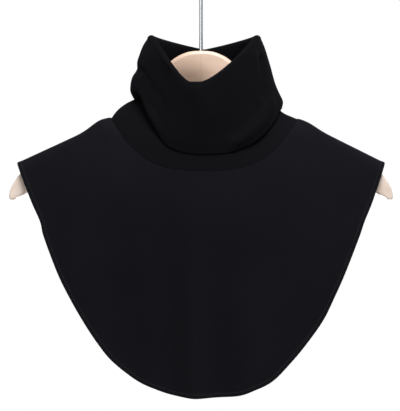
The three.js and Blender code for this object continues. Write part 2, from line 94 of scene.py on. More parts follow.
def through(knots: Array, values: Array, places: Array) -> Array:
    """Smooth curve through a table of values.

    Args:
        knots: Rising places of the table's values.
        values: The values at those places.
        places: Where the curve is wanted.

    Returns:
        The curve's values at the wanted places.
    """
    slopes = np.gradient(values, knots)
    at = np.clip(np.searchsorted(knots, places, side="right") - 1, 0, len(knots) - 2)
    width = knots[at + 1] - knots[at]
    share = (places - knots[at]) / width
    square, cube = share**2, share**3
    return (
        (2 * cube - 3 * square + 1) * values[at]
        + (cube - 2 * square + share) * width * slopes[at]
        + (3 * square - 2 * cube) * values[at + 1]
        + (cube - square) * width * slopes[at + 1]
    )


def curve_through(before: Array, start: Array, end: Array, after: Array, share: Array) -> Array:
    """Smooth curve between two knots, with the slopes that the knots beside them give.

    Args:
        before: Knots before the start.
        start: Knots where the share is 0.
        end: Knots where the share is 1.
        after: Knots after the end.
        share: Shares of the way from start to end.

    Returns:
        The points of the curve.
    """
    slope = (end - before) / 2
    bend = before - 2.5 * start + 2 * end - after / 2
    twist = (after - before) / 2 + 1.5 * (start - end)
    return start + share * (slope + share * (bend + share * twist))


def circle(radius: float, sides: int) -> list[tuple[float, float]]:
    """Points round a circle about the origin."""
    turns = np.linspace(0, FULL_TURN, sides, endpoint=False)
    return [(radius * math.cos(turn), radius * math.sin(turn)) for turn in turns]


def tube_faces(rings: int, sides: int) -> list[tuple[int, ...]]:
    """Faces of a tube made of rings of points, with a cap on each end.

    Args:
        rings: How many rings there are.
        sides: Points in each ring.

    Returns:
        The corners of each face.
    """
    faces = []
    for low in range(0, (rings - 1) * sides, sides):
        for i in range(sides):
            j = (i + 1) % sides
            faces.append((low + i, low + j, low + sides + j, low + sides + i))
    last = (rings - 1) * sides
    faces.append(tuple(reversed(range(sides))))
    faces.append(tuple(range(last, last + sides)))
    return faces


def grid_normals(grid: Array, closed: bool) -> Array:
    """Unit normals of a grid of points.

    Args:
        grid: Points in rows and columns.
        closed: Whether the last column meets the first.

    Returns:
        One normal for each point.
    """
    down = np.gradient(grid, axis=0)
    if closed:
        across = np.roll(grid, -1, axis=1) - np.roll(grid, 1, axis=1)
    else:
        across = np.gradient(grid, axis=1)
    return unit(np.cross(across, down))


class Side(Enum):
    """Which of the two panels a piece belongs to, as the sign of its Y."""

    FRONT = -1
    BACK = 1


class Wiring:
    """Adds nodes to a tree and links them, so that a finish reads as one list."""

    def __init__(self, tree: bpy.types.NodeTree) -> None:
        """Keeps the tree and empties it."""
        self.tree = tree
        tree.nodes.clear()

    def add(self, kind: str, **settings: object) -> bpy.types.Node:
        """Adds a node.

        Args:
            kind: Blender's type name of the node.
            **settings: Attributes of the node, or values of its inputs where no attribute has that name.

        Returns:
            The new node.
        """
        node = self.tree.nodes.new(kind)
        for name, value in settings.items():
            if hasattr(node, name):
                setattr(node, name, value)
            else:
                self.feed(node.inputs[name.replace("_", " ")], value)
        return node

    def feed(self, socket: bpy.types.NodeSocket, value: object) -> None:
        """Feeds an input socket.

        Args:
            socket: The input socket.
            value: An output to link to it, or a value of its own.
        """
        if isinstance(value, bpy.types.NodeSocket):
            self.tree.links.new(value, socket)
        else:
            socket.default_value = value

    def math(self, operation: str, first: object, second: object = 0.0, third: object = 0.0) -> object:
        """Adds a Math node.

        Args:
            operation: Blender's name of what the node does.
            first: First socket or number.
            second: Second socket or number.
            third: Third socket or number.

        Returns:
            The node's output.
        """
        node = self.tree.nodes.new("ShaderNodeMath")
        node.operation = operation
        for socket, value in zip(node.inputs, (first, second, third)):
            self.feed(socket, value)
        return node.outputs[0]

    def ramp(self, factor: object, stops: list[tuple[float, tuple[float, ...]]]) -> object:
        """Adds a colour ramp.

        Args:
            factor: Socket or number that picks the colour.
            stops: Places and colours of the ramp, at least two.

        Returns:
            The colour output.
        """
        node = self.tree.nodes.new("ShaderNodeValToRGB")
        elements = node.color_ramp.elements
        while len(elements) < len(stops):
            elements.new(0.5)
        for element, (place, colour) in zip(elements, stops):
            element.position = place
            element.color = (*colour, 1.0)
        self.feed(node.inputs[0], factor)
        return node.outputs[0]

    def noise(self, place: object, scale: float, detail: float) -> object:
        """Adds a noise texture and returns its output from 0 to 1."""
        return self.add("ShaderNodeTexNoise", Vector=place, Scale=scale, Detail=detail).outputs[0]

    def tint(self, colour: object, other: object, share: object = 1.0) -> object:
        """Multiplies a colour by another one.

        Args:
            colour: The colour's socket.
            other: The colour or the brightness to multiply by.
            share: How much of the change is made.

        Returns:
            The output with the new colour.
        """
        node = self.add("ShaderNodeMix", data_type="RGBA", blend_type="MULTIPLY")
        for index, value in ((0, share), (6, colour), (7, other)):
            self.feed(node.inputs[index], value)
        return node.outputs[2]


def start_material(name: str) -> tuple[bpy.types.Material, Wiring, object]:
    """Starts a material.

    Args:
        name: Name of the material.

    Returns:
        The material, the wiring of its nodes, and the socket of the place on the object.
    """
    material = bpy.data.materials.new(name)
    material.use_nodes = True
    wiring = Wiring(material.node_tree)
    return material, wiring, wiring.add("ShaderNodeTexCoord").outputs["Object"]


@dataclass(frozen=True)
class KnitFinish:
    """Fine jersey of black yarn, with columns of V-shaped stitches along the cloth."""

    name: str
    colour: tuple[float, float, float]
    pale: tuple[float, float, float]
    course: float = 0.85  # height of a row of stitches
    relief: float = 0.22  # height of the stitches
    leg_fall: float = 0.75  # rows that a stitch's legs rise from its middle to its sides
    leg_wave: float = 0.3  # share of the height that changes along a leg
    flap_painted_shade: float = 1.0  # share of the colour on the cloth's other side out on the flap, painted shade
    inside_painted_shade: float = 1.0  # the same inside the collar, deeper painted shade there
    lining_end: float = 0.1  # metres along the cloth
    lining_fade: tuple[float, float] = (0.012, 0.004)  # metres before and after the end of the painted shade inside the collar
    cloud_scale: float = 16.0
    cloud_share: float = 0.4  # of the tone
    fibre_scale: float = 1900.0
    fibre_share: float = 0.35  # of the tone and of the height
    stitch_shade_share: float = 0.3  # of the tone: painted shade between the stitches, paler on their raised legs
    sheen: float = 0.01
    gloss: float = 0.04
    roughness: float = 0.9

    def stitches(self, wiring: Wiring) -> object:
        """Wires the height of the knitted stitches and returns its socket."""
        place = wiring.add("ShaderNodeUVMap", uv_map="knit").outputs[0]
        parts = wiring.add("ShaderNodeSeparateXYZ", Vector=place).outputs
        column = wiring.math("DIVIDE", parts[0], WALE * MM)
        row = wiring.math("DIVIDE", parts[1], self.course * MM)
        inside = wiring.math("FRACT", column)
        away = wiring.math("ABSOLUTE", wiring.math("MULTIPLY_ADD", inside, 2.0, -1.0))
        leg = wiring.math("ABSOLUTE", wiring.math("MULTIPLY_ADD", away, 2.0, -1.0))
        round_leg = wiring.math("SUBTRACT", 1.0, wiring.math("MULTIPLY", leg, leg))
        slant = wiring.math("MULTIPLY_ADD", away, self.leg_fall, row)
        wave = wiring.math("SINE", wiring.math("MULTIPLY", slant, FULL_TURN))
        lift = wiring.math("MULTIPLY_ADD", wave, self.leg_wave, 1 - self.leg_wave)
        return wiring.math("MULTIPLY", round_leg, lift)

    def painted_side_shade(self, wiring: Wiring) -> object:
        """Wires painted shade on the flap and inside the collar and returns its share of the colour."""
        place = wiring.add("ShaderNodeUVMap", uv_map="knit").outputs[0]
        across, along, _ = wiring.add("ShaderNodeSeparateXYZ", Vector=place).outputs
        # Painted shade: the other side is darker out on the flap and darker still inside the collar.
        other = wiring.math("GREATER_THAN", across, REVERSE_SHIFT / 2)
        outer = wiring.add("ShaderNodeMapRange", interpolation_type="SMOOTHSTEP", Value=along)
        wiring.feed(outer.inputs["From Min"], self.lining_end - self.lining_fade[0])
        wiring.feed(outer.inputs["From Max"], self.lining_end + self.lining_fade[1])
        wiring.feed(outer.inputs["To Min"], self.inside_painted_shade - 1.0)
        wiring.feed(outer.inputs["To Max"], self.flap_painted_shade - 1.0)
        return wiring.math("MULTIPLY_ADD", other, outer.outputs[0], 1.0)

    def build(self) -> bpy.types.Material:
        """Builds the material and returns it."""
        material, wiring, place = start_material(self.name)
        cloud = wiring.noise(place, self.cloud_scale, 3.0)
        fibre = wiring.noise(place, self.fibre_scale, 2.0)
        stitch = self.stitches(wiring)
        clouds = wiring.math("MULTIPLY", cloud, self.cloud_share)
        shade = wiring.math("MULTIPLY_ADD", fibre, self.fibre_share, clouds)
        # Painted shade in the grooves between the stitches, by their height.
        tone = wiring.math("MULTIPLY_ADD", stitch, self.stitch_shade_share, shade)
        colour = wiring.ramp(tone, [(0.25, self.colour), (0.85, self.pale)])
        height = wiring.math("MULTIPLY_ADD", fibre, self.fibre_share, stitch)
        bump = wiring.add("ShaderNodeBump", Height=height, Distance=self.relief * MM, Strength=0.8)
        shader = wiring.add(
            "ShaderNodeBsdfPrincipled",
            Base_Color=wiring.tint(colour, self.painted_side_shade(wiring)),
            Roughness=self.roughness,
            Specular_IOR_Level=self.gloss,
            Sheen_Weight=self.sheen,
            Sheen_Roughness=0.45,
            Sheen_Tint=(0.75, 0.8, 1.0, 1.0),
            Normal=bump.outputs[0],
        )
        wiring.add("ShaderNodeOutputMaterial", Surface=shader.outputs[0])
        return material


@dataclass(frozen=True)
class ThreadFinish:
    """Black sewing thread with a slight gloss."""

    name: str = "black_thread"
    colour: tuple[float, float, float] = (0.004, 0.004, 0.005)
    contrast: float = 1.6  # of the brighter fibres to the colour
    twist_scale: float = 4200.0

    def build(self) -> bpy.types.Material:
        """Builds the material and returns it."""
        material, wiring, place = start_material(self.name)
        twist = wiring.noise(place, self.twist_scale, 1.0)
        bright = tuple(self.contrast * part for part in self.colour)
        colour = wiring.ramp(twist, [(0.3, self.colour), (0.7, bright)])
        bump = wiring.add("ShaderNodeBump", Height=twist, Distance=0.05 * MM, Strength=0.5)
        shader = wiring.add(
            "ShaderNodeBsdfPrincipled",
            Base_Color=colour,
            Roughness=0.75,
            Normal=bump.outputs[0],
        )
        wiring.add("ShaderNodeOutputMaterial", Surface=shader.outputs[0])
        return material


@dataclass(frozen=True)
class WoodFinish:
    """Pale varnished wood, fine grain along the hanger, a joint line at its middle, painted shade at the
    neck.
    """

    name: str = "pale_wood"
    pale: tuple[float, float, float] = (0.82, 0.62, 0.50)
    dark: tuple[float, float, float] = (0.72, 0.51, 0.39)
    painted_shade_centre: Point = (-0.016, 0.0, -0.158)  # middle of the painted shade, low in the head where the collar shades the wood
    # Painted shade by distance from that middle, darkest inside the collar; the pale, cool last stop is
    # painted light on the arms.
    painted_shades: tuple[tuple[float, tuple[float, float, float]], ...] = (
        (0.019, (0.33, 0.30, 0.27)),
        (0.034, (0.61, 0.57, 0.53)),
        (0.039, (0.72, 0.69, 0.66)),
        (0.06, (0.84, 0.81, 0.79)),
        (0.20, (0.84, 0.94, 1.0)),
    )
    joint: float = 0.35  # half width of the joint line
    joint_colour: tuple[float, float, float, float] = (0.45, 0.36, 0.3, 1.0)
    joint_share: float = 0.55  # of the joint's colour at the middle of its line
    grain_scale: Point = (9.0, 70.0, 110.0)
    pore_scale: Point = (60.0, 900.0, 900.0)

    def build(self) -> bpy.types.Material:
        """Builds the material and returns it."""
        material, wiring, place = start_material(self.name)
        along = wiring.add("ShaderNodeMapping", Vector=place, Scale=self.grain_scale).outputs[0]
        streak = wiring.noise(along, 1.0, 6.0)
        pores = wiring.add("ShaderNodeMapping", Vector=place, Scale=self.pore_scale).outputs[0]
        pore = wiring.noise(pores, 1.0, 2.0)
        grain = wiring.math("MULTIPLY_ADD", pore, 0.35, wiring.math("MULTIPLY", streak, 0.75))
        colour = wiring.ramp(grain, [(0.3, self.dark), (0.68, self.pale)])
        # Painted shade round the neck and painted light on the arms, by distance from the shade's middle.
        reach = wiring.add("ShaderNodeVectorMath", operation="DISTANCE")
        wiring.feed(reach.inputs[0], place)
        wiring.feed(reach.inputs[1], self.painted_shade_centre)
        shaded = wiring.tint(colour, wiring.ramp(reach.outputs["Value"], list(self.painted_shades)))
        side = wiring.add("ShaderNodeSeparateXYZ", Vector=place).outputs[0]
        away = wiring.math("DIVIDE", wiring.math("ABSOLUTE", side), self.joint * MM)
        line = wiring.math("SUBTRACT", 1.0, wiring.math("MINIMUM", away, 1.0))
        darker = wiring.tint(shaded, self.joint_colour, wiring.math("MULTIPLY", line, self.joint_share))
        height = wiring.math("SUBTRACT", grain, wiring.math("MULTIPLY", line, 0.8))
        bump = wiring.add("ShaderNodeBump", Height=height, Distance=0.12 * MM, Strength=0.35)
        rough = wiring.math("MULTIPLY_ADD", pore, 0.2, 0.36)
        shader = wiring.add(
            "ShaderNodeBsdfPrincipled",
            Base_Color=darker,
            Roughness=rough,
            Coat_Weight=0.15,
            Coat_Roughness=0.3,
            Normal=bump.outputs[0],
        )
        wiring.add("ShaderNodeOutputMaterial", Surface=shader.outputs[0])
        return material


@dataclass(frozen=True)
class WireFinish:
    """Bright drawn steel wire with fine marks along it."""

    name: str = "bright_wire"
    colour: tuple[float, float, float] = (0.94, 0.96, 0.98)
    dull: tuple[float, float, float] = (0.89, 0.92, 0.95)
    mark_scale: Point = (1500.0, 1500.0, 60.0)

    def build(self) -> bpy.types.Material:
        """Builds the material and returns it."""
        material, wiring, place = start_material(self.name)
        marks = wiring.add("ShaderNodeMapping", Vector=place, Scale=self.mark_scale).outputs[0]
        mark = wiring.noise(marks, 1.0, 2.0)
        colour = wiring.ramp(mark, [(0.35, self.dull), (0.65, self.colour)])
        rough = wiring.math("MULTIPLY_ADD", mark, 0.08, 0.3)
        bump = wiring.add("ShaderNodeBump", Height=mark, Distance=0.005 * MM, Strength=0.2)
        shader = wiring.add(
            "ShaderNodeBsdfPrincipled",
            Base_Color=colour,
            Metallic=1.0,
            Roughness=rough,
            Normal=bump.outputs[0],
        )
        wiring.add("ShaderNodeOutputMaterial", Surface=shader.outputs[0])
        return material


@dataclass(frozen=True)
class FloorFinish:
    """Pale matte floor with a faint unevenness."""

    name: str = "pale_floor"
    colour: tuple[float, float, float] = (0.86, 0.86, 0.85)

    def build(self) -> bpy.types.Material:
        """Builds the material and returns it."""
        material, wiring, place = start_material(self.name)
        cloud = wiring.noise(place, 3.0, 2.0)
        darker = tuple(0.97 * part for part in self.colour)
        colour = wiring.ramp(cloud, [(0.3, darker), (0.7, self.colour)])
        shader = wiring.add("ShaderNodeBsdfPrincipled", Base_Color=colour, Roughness=0.7)
        wiring.add("ShaderNodeOutputMaterial", Surface=shader.outputs[0])
        return material


def mesh_object(
    name: str,
    points: Array,
    faces: list[tuple[int, ...]],
    material: bpy.types.Material,
    sharp: float = 50.0,
) -> bpy.types.Object:
    """Makes a mesh piece at the origin.

    Args:
        name: Name of the piece.
        points: Its points in millimetres.
        faces: Corners of its faces.
        material: Its finish.
        sharp: Angle in degrees past which an edge isn't shaded smooth.

    Returns:
        The new object.
    """
    mesh = bpy.data.meshes.new(name)
    mesh.from_pydata((np.asarray(points) * MM).tolist(), [], faces)
    mesh.polygons.foreach_set("use_smooth", [True] * len(mesh.polygons))
    mesh.set_sharp_from_angle(angle=math.radians(sharp))
    mesh.materials.append(material)
    mesh.update()
    piece = bpy.data.objects.new(name, mesh)
    bpy.context.scene.collection.objects.link(piece)
    return piece


@dataclass
class ClothSkin:
    """Closed skin of cloth on both sides of a grid of middle points."""

    middle: Array
    normal: Array
    wall: Array  # thickness at each point
    flat: Array  # place on the flat cloth, in metres, with one more column where the grid is closed
    closed: bool

    def make(self, name: str, material: bpy.types.Material) -> bpy.types.Object:
        """Writes the skin as a mesh with the cloth's own map.

        Args:
            name: Name of the piece.
            material: Its finish.

        Returns:
            The new object.
        """
        rows, columns = self.middle.shape[:2]
        half = self.normal * self.wall[..., None] / 2
        loop = np.concatenate([self.middle + half, (self.middle - half)[::-1]])
        rings = 2 * rows
        last = columns if self.closed else columns - 1
        ring, column = np.meshgrid(np.arange(rings), np.arange(last), indexing="ij")
        ring, column = ring.ravel(), column.ravel()
        below, beside = (ring + 1) % rings, (column + 1) % columns
        top, bottom = ring * columns, below * columns
        faces = np.stack([top + column, top + beside, bottom + beside, bottom + column], axis=1)
        row_of = np.concatenate([np.arange(rows), np.arange(rows)[::-1]])
        flat = np.stack(
            [
                self.flat[row_of[ring], column],
                self.flat[row_of[ring], column + 1],
                self.flat[row_of[below], column + 1],
                self.flat[row_of[below], column],
            ],
            axis=1,
        )
        # The other side is moved aside in the map, where the knit's painted shade finds it.
        flat[ring >= rows, :, 0] += REVERSE_SHIFT
        if not self.closed:
            row = np.arange(rows - 1)
            under = rings - 1 - row
            for edge in (0, columns - 1):
                corners = [row * columns, (row + 1) * columns, (under - 1) * columns, under * columns]
                places = [self.flat[row, edge], self.flat[row + 1, edge]]
                order = [0, 1, 2, 3] if edge == 0 else [0, 3, 2, 1]
                corners = np.stack([corners[i] + edge for i in order], axis=1)
                places = np.stack([places[(0, 1, 1, 0)[i]] for i in order], axis=1)
                faces = np.concatenate([faces, corners])
                flat = np.concatenate([flat, places])
        piece = mesh_object(name, loop.reshape(-1, 3), faces.tolist(), material)
        piece.data.uv_layers.new(name="knit").data.foreach_set("uv", flat.ravel())
        return piece


def path_length(grid: Array, axis: int) -> Array:
    """Distance travelled along a grid of points.

    Args:
        grid: Points in rows and columns, or one row of them.
        axis: The axis to travel along.

    Returns:
        The distance at each point, starting at 0.
    """
    steps = np.linalg.norm(np.diff(grid, axis=axis), axis=-1)
    pad = [(0, 0)] * (grid.ndim - 1)
    pad[axis] = (1, 0)
    return np.pad(np.cumsum(steps, axis=axis), pad)


@dataclass(frozen=True)
class Ring:
    """A ring round the neck: half widths, half depths and heights, with a dip at the front and back."""

    left: float
    right: float
    front: float
    back: float
    left_z: float
    right_z: float
    front_z: float
    back_z: float
    power: float  # 1 dips to a sharp V at the front, 3 to a wide U
    back_power: float
    point: float = 1.0  # above 1 the ring is pointed at the sides
    tip: float = 0.0  # place of the lowest point, as a share of the half width
    level: float = 0.0  # share of the half width, to each side of the lowest point, that is level
    blunt: float = 0.0  # rounding of the level stretch's ends

    def place(self, turn: Array) -> Array:
        """Gives points of the ring.

        Args:
            turn: Turns in radians, 0 at the front and a quarter turn at the right.

        Returns:
            The points.
        """
        across, along = np.sin(turn), np.cos(turn)
        behind = along < 0
        tip = np.where(behind, 0, self.tip * along)
        gone = np.where(across < tip, (tip - across) / (1 + tip), (across - tip) / (1 - tip))
        level, round_off = np.where(behind, 0, self.level), np.where(behind, 0, self.blunt)
        gone = np.maximum(gone - level, 0) / (1 - level)
        gone = (np.sqrt(gone**2 + round_off**2) - round_off) / (np.sqrt(1 + round_off**2) - round_off)
        dip = 1 - gone ** np.where(behind, self.back_power, self.power)
        side_z = np.where(across < tip, self.left_z, self.right_z)
        return np.stack(
            [
                NECK_SHIFT + np.where(across < 0, self.left, self.right) * across,
                -np.where(behind, self.back, self.front) * np.sign(along) * np.abs(along) ** self.point,
                mix(side_z, np.where(behind, self.back_z, self.front_z), dip),
            ],
            axis=-1,
        )


@dataclass(frozen=True)
class NeckSeam:
    """The seam round the neck, which the collar and both panels share."""

    ring: Ring = Ring(HALF_NECK, HALF_NECK, 48, 40, NECK_Z, NECK_Z, NECK_Z - 56, NECK_Z - 17, 3, 3)
    spread: float = 0.5  # sideways lean of the cloth's wall at the shoulders
    rise: float = 0.87  # upward lean of the cloth's wall at the shoulders

    def at(self, turn: Array) -> tuple[Array, Array, Array]:
        """Gives the seam at turns round the neck.

        Args:
            turn: Turns in radians, 0 at the front.

        Returns:
            The places, the directions of the cloth's wall, and those away from the neck along the cloth.
        """
        step = 1e-3
        place = self.ring.place(turn)
        tangent = unit(self.ring.place(turn + step) - self.ring.place(turn - step))
        across = np.sin(turn)
        wall = np.stack([self.spread * across, -np.cos(turn), self.rise * across**2], axis=-1)
        wall = unit(wall - np.sum(wall * tangent, axis=-1, keepdims=True) * tangent)
        outward = unit(np.cross(tangent, wall))
        return place, wall, np.where(outward[..., 2:] > 0, -outward, outward)


@dataclass(frozen=True)
class ShareRow:
    """Shares of the way between two rings, at the left, right, front and back of the neck."""

    at: float
    left: float
    right: float
    front: float
    back: float


@dataclass(frozen=True)
class FlapFold:
    """A fold of the flap from one place to another, in degrees round the neck and share of the fall."""

    from_turn: float
    from_fall: float
    to_turn: float
    to_fall: float
    width: float
    height: float


@dataclass(frozen=True)
class HemWave:
    """A rise of the flap's edge, at a place and of a width in degrees round the neck."""

    turn: float
    width: float
    lift: float


@dataclass(frozen=True)
class Ripple:
    """A small wave over the whole flap, which grows down its fall."""

    round_waves: float  # per radian round the neck
    fall_waves: float
    start: float
    height: float


@dataclass
class StitchRow:
    """Thread stitches laid along a path by geometry nodes."""

    pitch: float = 2.9
    length: float = 2.2
    thread: float = 0.34  # radius
    shares: tuple[float, float] = (0.42, 0.54)  # least and most half length, as shares of the length
    ball: tuple[int, int] = (6, 4)  # segments and rings of one stitch
    seed: int = 7
    tree: bpy.types.NodeTree | None = field(default=None, repr=False)

    def grow_tree(self) -> bpy.types.NodeTree:
        """Builds the node tree once and returns it."""
        if self.tree is not None:
            return self.tree
        tree = bpy.data.node_groups.new("thread_stitches", "GeometryNodeTree")
        inputs = [
            ("Path", "NodeSocketGeometry", None),
            ("Pitch", "NodeSocketFloat", self.pitch * MM),
            ("Stitch length", "NodeSocketFloat", self.length * MM),
            ("Thread radius", "NodeSocketFloat", self.thread * MM),
            ("Seed", "NodeSocketInt", self.seed),
            ("Thread", "NodeSocketMaterial", None),
        ]
        for name, kind, value in inputs:
            socket = tree.interface.new_socket(name, in_out="INPUT", socket_type=kind)
            if value is not None:
                socket.default_value = value
        tree.interface.new_socket("Stitches", in_out="OUTPUT", socket_type="NodeSocketGeometry")
        wiring = Wiring(tree)
        given = wiring.add("NodeGroupInput").outputs
        curve = wiring.add("GeometryNodeMeshToCurve", Mesh=given["Path"]).outputs[0]
        spaced = wiring.add("GeometryNodeResampleCurve", Curve=curve)
        if hasattr(spaced, "mode"):
            spaced.mode = "LENGTH"
        wiring.feed(spaced.inputs["Length"], given["Pitch"])
        segments, rings = self.ball
        ball = wiring.add("GeometryNodeMeshUVSphere", Segments=segments, Rings=rings, Radius=1.0).outputs[0]
        tangent = wiring.add("GeometryNodeInputTangent").outputs[0]
        turned = wiring.add("FunctionNodeAlignRotationToVector", axis="X", Vector=tangent).outputs[0]
        uneven = wiring.add("FunctionNodeRandomValue", data_type="FLOAT", Seed=given["Seed"])
        wiring.feed(uneven.inputs[2], self.shares[0])
        wiring.feed(uneven.inputs[3], self.shares[1])
        half = wiring.math("MULTIPLY", given["Stitch length"], uneven.outputs[1])
        thread = given["Thread radius"]
        size = wiring.add("ShaderNodeCombineXYZ", X=half, Y=thread, Z=thread)
        stitches = wiring.add(
            "GeometryNodeInstanceOnPoints",
            Points=spaced.outputs[0],
            Instance=ball,
            Rotation=turned,
            Scale=size.outputs[0],
        ).outputs[0]
        real = wiring.add("GeometryNodeRealizeInstances", Geometry=stitches).outputs[0]
        soft = wiring.add("GeometryNodeSetShadeSmooth", Geometry=real).outputs[0]
        dyed = wiring.add("GeometryNodeSetMaterial", Geometry=soft, Material=given["Thread"]).outputs[0]
        wiring.add("NodeGroupOutput", Stitches=dyed)
        self.tree = tree
        return tree

    def lay(self, name: str, path: Array, material: bpy.types.Material) -> bpy.types.Object:
        """Lays stitches along a path.

        Args:
            name: Name of the piece.
            path: Points of the path in millimetres.
            material: The thread's finish.

        Returns:
            A plain mesh object of all the stitches.
        """
        guide = bpy.data.meshes.new(name + "_path")
        edges = [(i, i + 1) for i in range(len(path) - 1)]
        guide.from_pydata((path * MM).tolist(), edges, [])
        source = bpy.data.objects.new(name + "_path", guide)
        bpy.context.scene.collection.objects.link(source)
        modifier = source.modifiers.new("stitches", "NODES")
        modifier.node_group = self.grow_tree()
        sockets = {item.name: item.identifier for item in modifier.node_group.interface.items_tree}
        modifier[sockets["Pitch"]] = self.pitch * MM
        modifier[sockets["Stitch length"]] = self.length * MM
        modifier[sockets["Thread radius"]] = self.thread * MM
        modifier[sockets["Seed"]] = self.seed
        modifier[sockets["Thread"]] = material
        depsgraph = bpy.context.evaluated_depsgraph_get()
        mesh = bpy.data.meshes.new_from_object(source.evaluated_get(depsgraph), depsgraph=depsgraph)
        mesh.name = name
        source.modifiers.remove(modifier)
        bpy.data.objects.remove(source)
        piece = bpy.data.objects.new(name, mesh)
        bpy.context.scene.collection.objects.link(piece)
        return piece


@dataclass
class Collar:
    """The turtleneck: a tube of doubled knit that rises from the neck seam and folds over outwards."""

    seam: NeckSeam
    wall: float = 2.4
    edge_wall: float = 1.0  # at the flap's free edge
    edge_start: float = 0.85  # share of the fall where the wall begins to thin
    roll_radius: float = 3.5
    turns: int = 264
    stand_steps: int = 34
    roll_steps: int = 12
    flap_steps: int = 56
    end_steps: int = 5
    wales: int = 330  # columns of stitches round the neck
    tuck_end: float = 0.05  # share of the stand's rise that is drawn into the seam
    rim: Ring = Ring(
        58.4, 57.7, 43, 43, -95.5, -95.5, -149.2, -108, 1.38, 1.05,
        point=1.2, tip=-0.19, level=0.08, blunt=0.04,
    )
    hem: Ring = Ring(78.3, 84.9, 48.3, 47, -164, -176, -227, -190, 2.8, 2.8)
    stand_rows: tuple[ShareRow, ...] = (
        ShareRow(0, 0, 0, 0, 0),
        ShareRow(0.07, 0.08, 0.31, 0.08, 0.1),
        ShareRow(0.15, 0.23, 0.46, 0.2, 0.25),
        ShareRow(0.21, 0.4, 0.5, 0.28, 0.33),
        ShareRow(0.25, 0.56, 0.53, 0.34, 0.4),
        ShareRow(0.33, 0.69, 0.58, 0.42, 0.5),
        ShareRow(0.47, 0.755, 0.68, 0.6, 0.65),
        ShareRow(0.73, 0.89, 0.86, 0.85, 0.85),
        ShareRow(1, 1, 1, 1, 1),
    )
    flap_rows: tuple[ShareRow, ...] = (
        ShareRow(0, 0, 0, 0, 0),
        ShareRow(0.12, 0.29, 0.16, 0.14, 0.14),
        ShareRow(0.26, 0.51, 0.3, 0.3, 0.3),
        ShareRow(0.4, 0.67, 0.44, 0.46, 0.46),
        ShareRow(0.52, 0.665, 0.55, 0.6, 0.6),
        ShareRow(0.66, 0.97, 0.69, 0.74, 0.74),
        ShareRow(0.8, 1.09, 0.88, 0.88, 0.86),
        ShareRow(0.92, 1.1, 1.04, 0.98, 0.96),
        ShareRow(1, 1, 1, 1, 1),
    )
    folds: tuple[FlapFold, ...] = (
        FlapFold(68, 0.24, 56, 0.58, 6.5, -5),
        FlapFold(57, 0.1, 50, 0.58, 6, 2),
        FlapFold(22, 0.9, 62, 0.77, 7, 3.6),
        FlapFold(36, 1, 66, 1, 6, 1.5),
        FlapFold(-42, 0.2, -44, 0.7, 14, -3),
        FlapFold(-62, 0.84, -44, 0.88, 8, 2),
        FlapFold(-68, 1, -50, 1, 5, -2.5),
        FlapFold(-6, 0.1, 2, 0.45, 16, 3),
    )
    waves: tuple[HemWave, ...] = (HemWave(-61, 12, 16.5), HemWave(-42, 6, 4))
    ripples: tuple[Ripple, ...] = (Ripple(5, 4, 0, 0.45), Ripple(9, -7, 1.3, 0.35))

    def roll(self, turn: Array, angle: float) -> Array:
        """Gives points of the rolled top edge.

        Args:
            turn: Turns round the neck.
            angle: Way over the roll, from 0 at its inner side to half a turn at its outer side.

        Returns:
            The points.
        """
        place = self.rim.place(turn)
        width = np.where(np.sin(turn) < 0, self.rim.left, self.rim.right)
        outward = unit(
            np.stack([self.rim.front * np.sin(turn), -width * np.cos(turn), np.zeros_like(turn)], axis=-1)
        )
        place = place - outward * self.roll_radius * math.cos(angle)
        place[..., 2] += self.roll_radius * (math.sin(angle) - 1) - self.wall / 2
        return place

    def between(
        self, turn: Array, start: Array, end: Array, rows: tuple[ShareRow, ...], at: float
    ) -> Array:
        """Points between two rings.

        Args:
            turn: Turns round the neck.
            start: Points of the first ring.
            end: Points of the second ring.
            rows: Table of shares.
            at: Share of the way in height.

        Returns:
            The points at that height.
        """
        knots = np.array([row.at for row in rows])
        left, right, front, back = (
            through(knots, np.array([getattr(row, name) for row in rows]), np.array(at))
            for name in ("left", "right", "front", "back")
        )
        sideways, forward = (1 + np.sin(turn)) / 2, (1 + np.cos(turn)) / 2
        shares = np.stack(
            [mix(left, right, sideways), mix(back, front, forward), np.full_like(turn, at)], axis=-1
        )
        return mix(start, end, shares)

    def hem_place(self, turn: Array) -> Array:
        """Gives points of the flap's free edge with its waves.

        Args:
            turn: Turns round the neck.

        Returns:
            The points.
        """
        place = self.hem.place(turn)
        for wave in self.waves:
            place[..., 2] += wave.lift * bell((np.degrees(turn) - wave.turn) / wave.width)
        return place

    def fold_height(self, turn: Array, fall: float) -> Array:
        """Gives how far the folds and the cloth's small ripples push the flap out.

        Args:
            turn: Turns round the neck.
            fall: Share of the flap's fall.

        Returns:
            The distances in millimetres.
        """
        scale = np.array([self.hem.right, self.rim.front_z - self.hem.front_z])
        place = np.stack([turn, np.full_like(turn, fall)], axis=-1) * scale
        height = np.zeros_like(turn)
        for fold in self.folds:
            start = np.array([math.radians(fold.from_turn), fold.from_fall]) * scale
            line = np.array([math.radians(fold.to_turn), fold.to_fall]) * scale - start
            share = np.clip((place - start) @ line / (line @ line), 0, 1)
            away = np.linalg.norm(place - start - share[..., None] * line, axis=-1)
            height += fold.height * bell(away / fold.width)
        for ripple in self.ripples:
            wave = np.sin(ripple.round_waves * turn + ripple.fall_waves * fall + ripple.start)
            height += fall * ripple.height * wave
        return height

